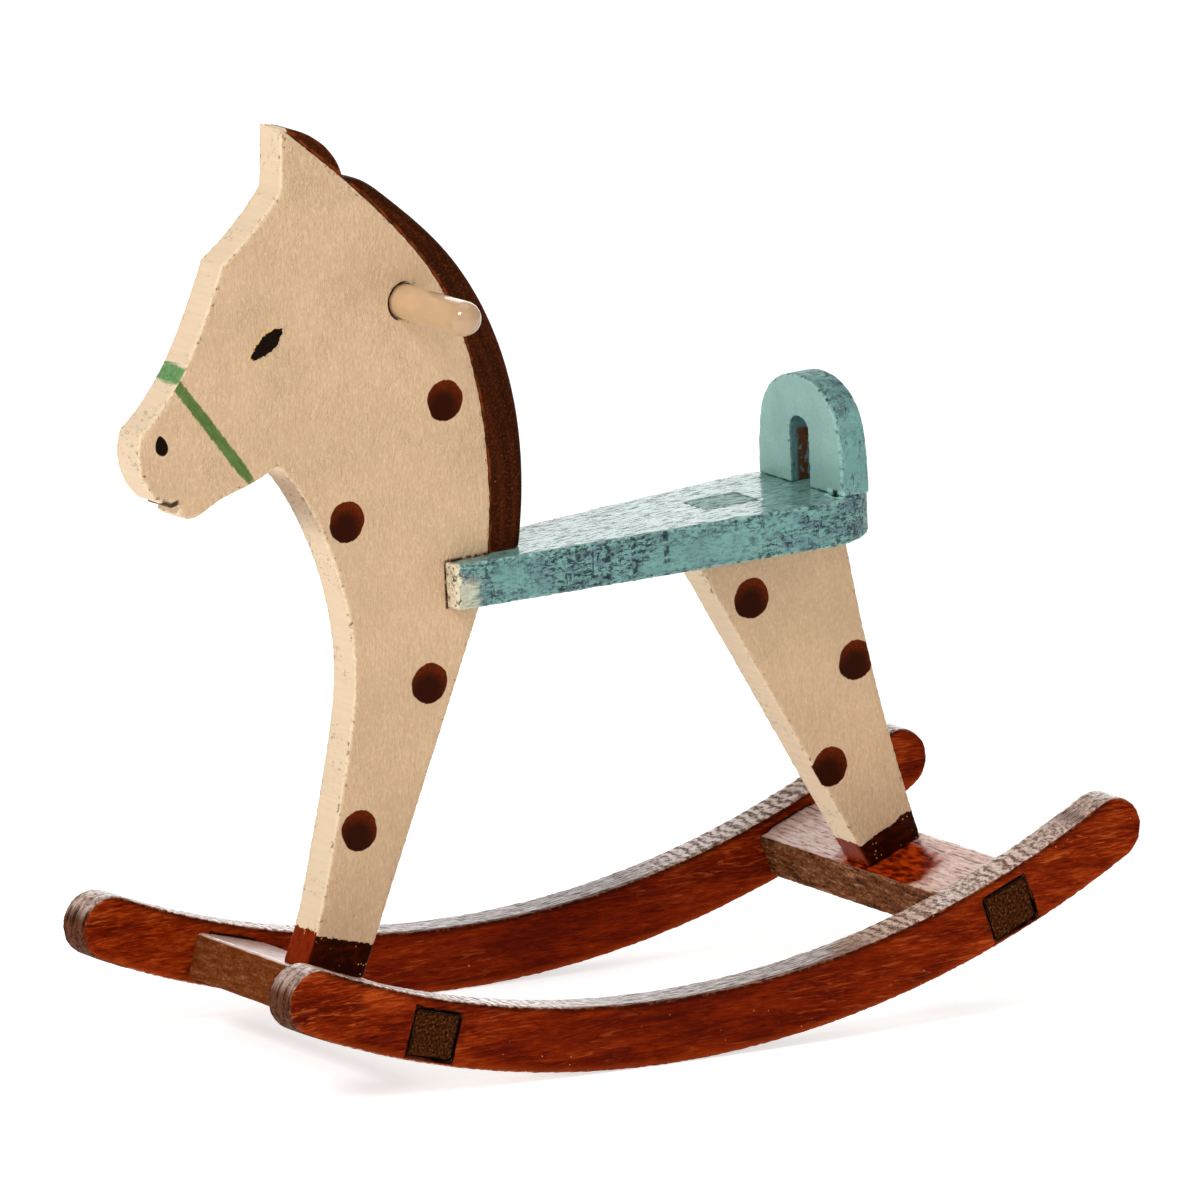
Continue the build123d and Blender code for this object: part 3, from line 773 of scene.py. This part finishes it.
def rail_stain(name):
    """Worn brown stain with lengthwise grain, and dark speckled end grain on the tenons."""
    f = Finish(name, gloss=0.01, coat_roughness=0.2)
    level = f.normal[2].rise(0.6, 0.85)
    grain = f.noise((1.5, 0.3, 1.5), detail=4.0, roughness=0.68)
    speck = f.noise((3.0, 1.6, 3.0), detail=4.0, roughness=0.78)
    tone = grain * 0.5 + speck * 0.5
    f.shade = f.ramp(tone, [
        (0.4, tint(36, 18, 8)), (0.48, tuple(f.paint.rail)), (0.55, tint(120, 74, 44)),
        (0.64, tint(172, 128, 98)),
    ])
    # Upward faces are pale pink-white, a painted sheen, with dark hair lines of grain.
    hair = f.noise((3.0, 0.35, 1.0), detail=4.0, roughness=0.75)
    grain_and_sheen = f.ramp(hair, [
        (0.36, tint(120, 78, 62)), (0.44, tint(198, 158, 144)), (0.6, tint(232, 200, 188)),
    ])
    front = f.x.rise(-5, 5) * 0.55
    f.lay(front, tint(110, 48, 10))
    f.lay(level, grain_and_sheen)
    # Stain that ran out from under the hind hoof, and a painted reflection of the hoof on the
    # rail's top.
    stain_and_reflection = f.distance((f.x, f.y * 0.6), HOOF_STAIN_AND_REFLECTION) + (f.noise(0.5, detail=3.0) - 0.5) * 3.4
    stain_and_reflection = stain_and_reflection.fall(4.0, 6.4) * level
    runs = f.noise((1.4, 0.5, 1.0)).rise(0.35, 0.7)
    spill_and_reflection = f.mix(runs, tint(84, 12, 0), tint(172, 56, 8))
    f.lay(stain_and_reflection, spill_and_reflection)
    crack = abs(f.x - CRACK + (f.noise(0.3) - 0.5) * 0.8).fall(0.05, 0.16)
    crack = crack * f.noise(0.4).rise(0.4, 0.5) * level
    f.lay(crack * 0.75, tint(58, 32, 24))
    # End grain of the tenons, with painted shade along their arrises where the gaps round them lie.
    pore = f.noise(3.0, detail=3.0, roughness=0.7)
    end = f.mix(pore.rise(0.4, 0.6), tint(28, 12, 3), tuple(f.paint.end_grain))
    end = f.mix(pore.rise(0.6, 0.68), end, tint(124, 84, 52))
    fleck = f.cells(1.4).fall(0.05, 0.13)
    end = f.mix(fleck * 0.5, end, tint(176, 120, 78))
    end = f.mix(f.arris.rise(0.15, 0.4) * f.noise(0.45).fall(0.44, 0.58), end, tint(16, 7, 3))
    f.lay(f.broad, end)
    rubbed = f.arris.rise(0.3, 0.7) * f.noise(1.2).rise(0.45, 0.6) * (1 - f.broad)
    f.lay(rubbed * 0.35, tint(176, 136, 110))
    # The tenons' sides lie in the dark of their mortises.
    hidden = abs(f.y).rise(RAIL_SHOULDER, RAIL_SHOULDER + 0.4) * (1 - f.broad)
    f.lay(hidden, tint(12, 5, 2))
    height = grain * 0.04 + speck * 0.05 + f.broad * pore * 0.1 - crack * 0.08 + hair * 0.03 * level
    rough = 0.32 + speck * 0.14 + (1 - level) * 0.1 - stain_and_reflection * 0.12
    coat = level * (0.95 - hair.fall(0.4, 0.48) * 0.5) * (1 - stain_and_reflection) * (1 - hidden)
    return f.wear(rough, height, coat)


def mane_stain(name):
    """Near-black brown stain whose streaks follow the curve of the neck."""
    f = Finish(name, gloss=0.01)
    mane = tuple(f.paint.mane)
    turn = (f.z - MANE_CENTRE[1]).turn_from(MANE_CENTRE[0] - f.x)
    along = f.join(turn * 48.0, f.y, f.distance((f.x, f.z), MANE_CENTRE))
    streak = f.noise((0.06, 0.8, 0.9), along, detail=3.0, roughness=0.55, distortion=0.3)
    fibre = f.noise((0.5, 3.0, 4.0), along, detail=3.0)
    f.shade = f.ramp(
        streak * 0.8 + fibre * 0.2,
        [(0.34, tint(42, 16, 4)), (0.5, mane), (0.64, tint(68, 27, 9)), (0.76, tint(88, 38, 16))],
    )
    grit = f.noise(3.0, detail=3.0, roughness=0.7)
    f.lay(grit.rise(0.5, 0.66) * 0.45, tint(104, 56, 28))
    f.lay(grit.fall(0.36, 0.48) * 0.45, tint(36, 12, 3))
    amber = f.arris.rise(0.25, 0.6) * f.noise(0.8).rise(0.38, 0.6)
    f.lay(amber * 0.6, tint(146, 66, 24))
    seam = f.joint.rise(0.7, 0.98) * f.broad
    f.lay(seam * 0.6, tint(132, 58, 22))
    nick = f.cells(1.0).fall(0.03, 0.08) * f.noise(0.25).rise(0.52, 0.6)
    f.lay(nick * 0.7, tint(206, 170, 140))
    # The forelock's front end was caught by the cream paint, laid in the lighter edge cream, a
    # painted sheen.
    caught = (f.x + (f.noise(1.2) - 0.5) * 0.3).rise(41.9, 42.1)
    f.lay(caught, tuple(f.paint.cream_edge_sheen))
    height = streak * 0.04 + fibre * 0.03
    rough = 0.34 + fibre * 0.16
    return f.wear(rough, height)


def handle_lacquer(name):
    """Cream lacquer on a turned dowel, with faint turning rings and specks."""
    f = Finish(name, gloss=0.3, coat=1.0, coat_roughness=0.03)
    lacquer = tuple(f.paint.lacquer)
    cloud = f.noise((0.5, 0.2, 0.5), detail=3.0)
    f.shade = f.mix(cloud.rise(0.35, 0.65), lit(lacquer, 0.92), lit(lacquer, 1.03))
    rings = f.noise((0.3, 2.2, 0.3))
    pits = f.noise((3.0, 3.0, 3.0))
    specks = f.cells(1.2).fall(0.04, 0.12) * f.noise(0.6).rise(0.5, 0.58)
    f.lay(specks * 0.7, tint(134, 96, 62))
    joint = abs(f.y).fall(2.55, 2.9)
    f.lay(joint * 0.5, tint(120, 84, 54))
    # Painted shade: the dowel is darker towards its ends.
    shaded_ends = abs(f.y).rise(13.5, 17.0)
    f.lay(shaded_ends * 0.6, tint(164, 124, 88))
    height = rings * 0.02 + cloud * 0.04 + pits * 0.008
    rough = 0.3 + cloud * 0.12
    return f.wear(rough, height)


def peg_wood(name):
    """Bare pale wood of the hidden pegs."""
    f = Finish(name, gloss=0.3)
    grain = f.noise((0.3, 2.4, 2.4), detail=3.0)
    f.shade = f.mix(grain.rise(0.35, 0.65), tint(170, 128, 84), tint(206, 168, 120))
    return f.wear(0.55 + grain * 0.1, grain * 0.03)


# ---- working the wood ----------------------------------------------


def select_only(piece):
    bpy.ops.object.select_all(action="DESELECT")
    piece.select_set(True)
    bpy.context.view_layer.objects.active = piece


def apply_modifier(piece, kind, **settings):
    """Add a modifier with its settings and apply it."""
    modifier = piece.modifiers.new(kind.lower(), kind)
    for name, value in settings.items():
        setattr(modifier, name, value)
    select_only(piece)
    bpy.ops.object.modifier_apply(modifier=modifier.name)


def blurred(values, pairs, count, rounds):
    """Values at the vertices, averaged with their neighbours' that many times."""
    for _ in range(rounds):
        total = values * 2
        np.add.at(total, pairs[:, 0], values[pairs[:, 1]])
        np.add.at(total, pairs[:, 1], values[pairs[:, 0]])
        values = total / (count + 2)
    return values


def vertex_vectors(piece, name):
    """Places or normals of a piece's vertices, one to a row."""
    values = np.zeros(len(piece.data.vertices) * 3, dtype=np.float32)
    piece.data.vertices.foreach_get(name, values)
    return values.reshape(-1, 3)


def store(piece, name, values):
    """Keep a number from 0 to 1 for each vertex, for the finishes to read."""
    layer = piece.data.attributes.new(name, "FLOAT", "POINT")
    layer.data.foreach_set("value", np.clip(values, 0, 1).astype(np.float32))


def mark_joints(piece, node):
    """Store how near each vertex lies to another piece: 1 touching, 0 at joint_reach."""
    reach = bpy.context.scene.horse_shape.joint_reach
    places = vertex_vectors(piece, "co")
    nearness = np.zeros(len(places))
    for other, solid in frame["nodes"].items():
        if other == node:
            continue
        low, high = (np.array(corner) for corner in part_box(other))
        close = np.nonzero(((places > low - reach) & (places < high + reach)).all(axis=1))[0]
        if not len(close):
            continue
        tree = BVHTree.FromPolygons(
            [tuple(vertex.co) for vertex in solid.data.vertices],
            [tuple(face.vertices) for face in solid.data.polygons],
        )
        for index in close:
            distance = tree.find_nearest(places[index].tolist(), reach)[3]
            if distance is not None:
                nearness[index] = max(nearness[index], 1 - distance / reach)
    store(piece, "joint", nearness)


def mark_edges(piece, mesh_size):
    """Store how far each vertex stands out of its surroundings, as it does along an arris."""
    mesh = piece.data
    places, normals = vertex_vectors(piece, "co"), vertex_vectors(piece, "normal")
    pairs = np.zeros(len(mesh.edges) * 2, dtype=np.int64)
    mesh.edges.foreach_get("vertices", pairs)
    pairs = pairs.reshape(-1, 2)
    count = np.bincount(pairs.ravel(), minlength=len(places)).astype(float)
    smooth = np.stack([blurred(places[:, axis], pairs, count, 3) for axis in range(3)], axis=1)
    standing = ((places - smooth) * normals).sum(axis=1) / mesh_size
    standing = np.clip(blurred(standing, pairs, count, 1) * 4, 0, 1)
    store(piece, "arris", standing)
    return standing


def cloud_texture(name, size, contrast=1.0, brightness=1.0):
    texture = bpy.data.textures.new(name, "CLOUDS")
    texture.noise_scale = size
    texture.noise_depth = 2
    texture.contrast = contrast
    texture.intensity = brightness
    return texture


def level_to_rest(x, y, z):
    """Place at rest, in metres, of a point given in millimetres with the seat level."""
    shape = bpy.context.scene.horse_shape
    radius, lean = shape.rocker_radius / MM, shape.lean
    return Vector((
        x * math.cos(lean) + (z - radius) * math.sin(lean),
        y,
        radius - x * math.sin(lean) + (z - radius) * math.cos(lean),
    )) * MM


def saw_mouth(piece):
    """Cut the mouth: a shallow saw cut that slopes up into the front edge, right across it."""
    shape = bpy.context.scene.horse_shape
    bpy.ops.object.select_all(action="DESELECT")
    bpy.ops.mesh.primitive_cube_add(size=1)
    saw = bpy.context.active_object
    saw.scale = (4 * MM, 8 * MM, shape.mouth_gap)
    saw.rotation_euler = (0, shape.lean + math.radians(20), 0)
    saw.location = level_to_rest(MOUTH_CUT[0], 0, MOUTH_CUT[1])
    bpy.ops.object.transform_apply(location=True, rotation=True, scale=True)
    apply_modifier(piece, "BOOLEAN", object=saw, operation="DIFFERENCE", solver="EXACT")
    bpy.data.objects.remove(saw)


def worked_copy(node, name, mesh_size, finish, chip_share=1.0, wave_share=1.0, cut=None):
    """The node's shape as worked wood: fine even mesh, sanded waves and chipped arrises."""
    shape = bpy.context.scene.horse_shape
    source = frame["nodes"][node]
    piece = bpy.data.objects.new(name, source.data.copy())
    bpy.context.scene.collection.objects.link(piece)
    select_only(piece)
    bpy.ops.object.mode_set(mode="EDIT")
    bpy.ops.mesh.select_all(action="SELECT")
    bpy.ops.mesh.remove_doubles(threshold=0.001 * MM)
    bpy.ops.object.mode_set(mode="OBJECT")
    if cut:
        cut(piece)
    apply_modifier(piece, "REMESH", mode="VOXEL", voxel_size=mesh_size, use_smooth_shade=True)
    apply_modifier(piece, "SMOOTH", factor=0.5, iterations=1)
    standing = mark_edges(piece, mesh_size)
    mark_joints(piece, node)
    group = piece.vertex_groups.new(name="arris")
    for share in range(1, 11):
        chosen = np.nonzero(np.round(standing * 10) == share)[0]
        if len(chosen):
            group.add(chosen.tolist(), share / 10, "REPLACE")
    apply_modifier(
        piece, "DISPLACE", texture=cloud_texture(name + "_sanding", 3.5 * MM),
        strength=shape.sanding * wave_share, mid_level=0.5,
    )
    apply_modifier(
        piece, "DISPLACE", texture=cloud_texture(name + "_chips", 0.8 * MM, 3.0, 1.35),
        strength=shape.chipping * chip_share, mid_level=1.0, vertex_group="arris",
    )
    piece.vertex_groups.clear()
    low, high = (np.array(corner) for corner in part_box(node))
    piece.data.vertices.foreach_set("co", np.clip(vertex_vectors(piece, "co"), low, high).ravel())
    piece.data.materials.clear()
    piece.data.materials.append(finish)
    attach(piece, "root")
    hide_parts(node)
    return piece


class CarveBoards(bpy.types.Operator):
    """Work the front board and the hind leg, and paint them cream with their marks"""

    bl_idname = "horse.carve_boards"
    bl_label = "Carve the boards"

    def execute(self, context):
        shape = context.scene.horse_shape
        front = cream_paint("front_board_paint", FRONT_SPOTS, FRONT_HOOF, face_marks=True)
        hind = cream_paint("hind_leg_paint", HIND_SPOTS, HIND_HOOF, tenon=True)
        worked_copy(
            "front_board", "painted_front_board", shape.board_mesh, front,
            chip_share=0.8, cut=saw_mouth,
        )
        worked_copy("hind_leg", "painted_hind_leg", shape.small_mesh, hind)
        return {"FINISHED"}


class ShapeRunners(bpy.types.Operator):
    """Work the two rockers and the two rails, and stain them"""

    bl_idname = "horse.shape_runners"
    bl_label = "Shape the rockers and rails"

    def execute(self, context):
        size = context.scene.horse_shape.small_mesh
        rocker = rocker_stain("rocker_stain")
        rail = rail_stain("rail_stain")
        for side in ("left", "right"):
            worked_copy(f"{side}_rocker", f"stained_{side}_rocker", size, rocker)
        for end in ("front", "rear"):
            worked_copy(f"{end}_rail", f"stained_{end}_rail", size, rail, chip_share=0.7)
        return {"FINISHED"}


class ShapeSeat(bpy.types.Operator):
    """Work the forked seat and its slotted back, and paint them teal"""

    bl_idname = "horse.shape_seat"
    bl_label = "Shape the seat and its back"

    def execute(self, context):
        shape = context.scene.horse_shape
        worked_copy("seat", "painted_seat", shape.small_mesh, teal_paint("seat_paint"))
        worked_copy(
            "backrest", "painted_backrest", shape.small_mesh, teal_paint("backrest_paint", True),
            chip_share=0.5, wave_share=0.5,
        )
        return {"FINISHED"}


class DressMane(bpy.types.Operator):
    """Work the mane and the forelock, and stain them dark"""

    bl_idname = "horse.dress_mane"
    bl_label = "Dress the mane"

    def execute(self, context):
        size = context.scene.horse_shape.small_mesh
        stain = mane_stain("mane_stain")
        for node in ("mane", "forelock"):
            worked_copy(node, f"stained_{node}", size, stain, chip_share=0.3, wave_share=0.6)
        return {"FINISHED"}


class FinishHandle(bpy.types.Operator):
    """Lacquer the turned handle and finish the hidden pegs"""

    bl_idname = "horse.finish_handle"
    bl_label = "Finish the handle and pegs"

    def execute(self, context):
        lacquer, pegs = handle_lacquer("handle_lacquer"), peg_wood("peg_wood")
        finishes = {"handle": lacquer, "seat_peg": pegs, "backrest_pegs": pegs}
        for node, finish in finishes.items():
            for slot in frame["nodes"][node].material_slots:
                slot.material = finish
        return {"FINISHED"}


class SetStage(bpy.types.Operator):
    """Lay the floor and place the lights and the camera"""

    bl_idname = "horse.set_stage"
    bl_label = "Set the stage"

    def execute(self, context):
        stage = context.scene.horse_stage
        self.lay_floor(context, stage)
        self.place_lights(context, stage)
        self.place_camera(context, stage)
        context.scene.view_settings.view_transform = "Standard"
        return {"FINISHED"}

    def lay_floor(self, context, stage):
        bpy.ops.object.select_all(action="DESELECT")
        bpy.ops.mesh.primitive_plane_add(size=stage.floor_size)
        floor = context.active_object
        floor.name = "studio_floor"
        f = Finish("studio_floor_paper", gloss=0.0)
        shade = f.mix(f.noise(0.01), (0.74, 0.74, 0.74), (0.76, 0.76, 0.76))
        f.tree.links.new(shade.socket, f.shader.inputs["Base Color"])
        f.shader.inputs["Emission Color"].default_value = (1, 1, 1, 1)
        f.shader.inputs["Emission Strength"].default_value = stage.floor_glow
        floor.data.materials.append(f.material)

    def place_lights(self, context, stage):
        world = bpy.data.worlds.new("studio_sky")
        world.use_nodes = True
        tree = world.node_tree
        sky = tree.nodes["Background"]
        sky.inputs["Color"].default_value = (1, 1, 1, 1)
        seen = tree.nodes.new("ShaderNodeLightPath")
        strength = tree.nodes.new("ShaderNodeMix")
        strength.inputs["A"].default_value = stage.sky
        strength.inputs["B"].default_value = 1.0
        tree.links.new(seen.outputs["Is Camera Ray"], strength.inputs["Factor"])
        tree.links.new(strength.outputs["Result"], sky.inputs["Strength"])
        context.scene.world = world
        target = Vector(stage.target)
        for name, place, size, power in LIGHTS:
            bpy.ops.object.select_all(action="DESELECT")
            bpy.ops.object.light_add(type="AREA", location=place)
            light = context.active_object
            light.name = name
            light.data.shape = "SQUARE"
            light.data.size = size
            light.data.energy = power
            light.rotation_euler = (light.location - target).to_track_quat("Z", "Y").to_euler()
            light.visible_camera = False

    def place_camera(self, context, stage):
        backward = Vector((
            math.cos(stage.elevation) * math.cos(stage.azimuth),
            math.cos(stage.elevation) * math.sin(stage.azimuth),
            math.sin(stage.elevation),
        ))
        bpy.ops.object.select_all(action="DESELECT")
        bpy.ops.object.camera_add(location=Vector(stage.target) + backward * stage.distance)
        camera = context.active_object
        camera.name = "studio_camera"
        turn = backward.to_track_quat("Z", "Y") @ Quaternion((0, 0, 1), stage.roll)
        camera.rotation_euler = turn.to_euler()
        camera.data.lens = stage.lens
        camera.data.sensor_width = 36
        camera.data.clip_end = 20
        context.scene.camera = camera


class HorsePanel(bpy.types.Panel):
    """Steps of the build and what they may vary"""

    bl_idname = "VIEW3D_PT_horse"
    bl_label = "Painted Rocking Horse"
    bl_space_type = "VIEW_3D"
    bl_region_type = "UI"
    bl_category = "Horse"

    def draw(self, context):
        scene = context.scene
        for step in STEPS:
            self.layout.operator(step.bl_idname)
        for group in (scene.horse_shape, scene.horse_paint, scene.horse_marks, scene.horse_stage):
            box = self.layout.box()
            for name in group.__annotations__:
                box.prop(group, name)


STEPS = (CarveBoards, ShapeRunners, ShapeSeat, DressMane, FinishHandle, SetStage)
GROUPS = {
    "horse_shape": HorseShape, "horse_paint": HorsePaint, "horse_marks": HorseMarks,
    "horse_stage": HorseStage,
}


def register():
    for group in (*GROUPS.values(), *STEPS, HorsePanel):
        bpy.utils.register_class(group)
    for name, group in GROUPS.items():
        setattr(bpy.types.Scene, name, PointerProperty(type=group))


def unregister():
    for name in GROUPS:
        delattr(bpy.types.Scene, name)
    for group in reversed((*GROUPS.values(), *STEPS, HorsePanel)):
        bpy.utils.unregister_class(group)


def main():
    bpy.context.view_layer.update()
    register()
    bpy.ops.horse.carve_boards()
    bpy.ops.horse.shape_runners()
    bpy.ops.horse.shape_seat()
    bpy.ops.horse.dress_mane()
    bpy.ops.horse.finish_handle()
    bpy.ops.horse.set_stage()


if __name__ == "__main__":
    main()
